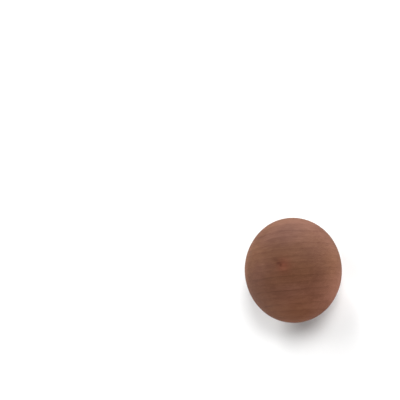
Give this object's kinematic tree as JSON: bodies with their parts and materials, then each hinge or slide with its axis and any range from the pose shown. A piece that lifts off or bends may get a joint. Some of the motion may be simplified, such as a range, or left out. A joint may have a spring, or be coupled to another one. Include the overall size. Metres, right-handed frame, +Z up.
{
  "type": "wooden palm stone",
  "caption": "Flattened round palm stone of sanded reddish-brown hardwood, with smooth domes, a rounded rim and a small level spot underneath.",
  "frame": {"origin": "under the middle of the stone, on the level spot of the lower dome that it lies on", "axes": "+Z up through the middle of both domes, the axis the stone was turned about; the rim lies level around it, with the wood's grain along X and its rings stacked along Y"},
  "size_m": [0.045, 0.045, 0.024],
  "materials": {
    "sanded_wood": "bare fine-grained reddish-brown hardwood, sanded smooth, satin"
  },
  "bodies": {
    "root": {"palm_stone": "sanded_wood"}
  },
  "joints": []
}
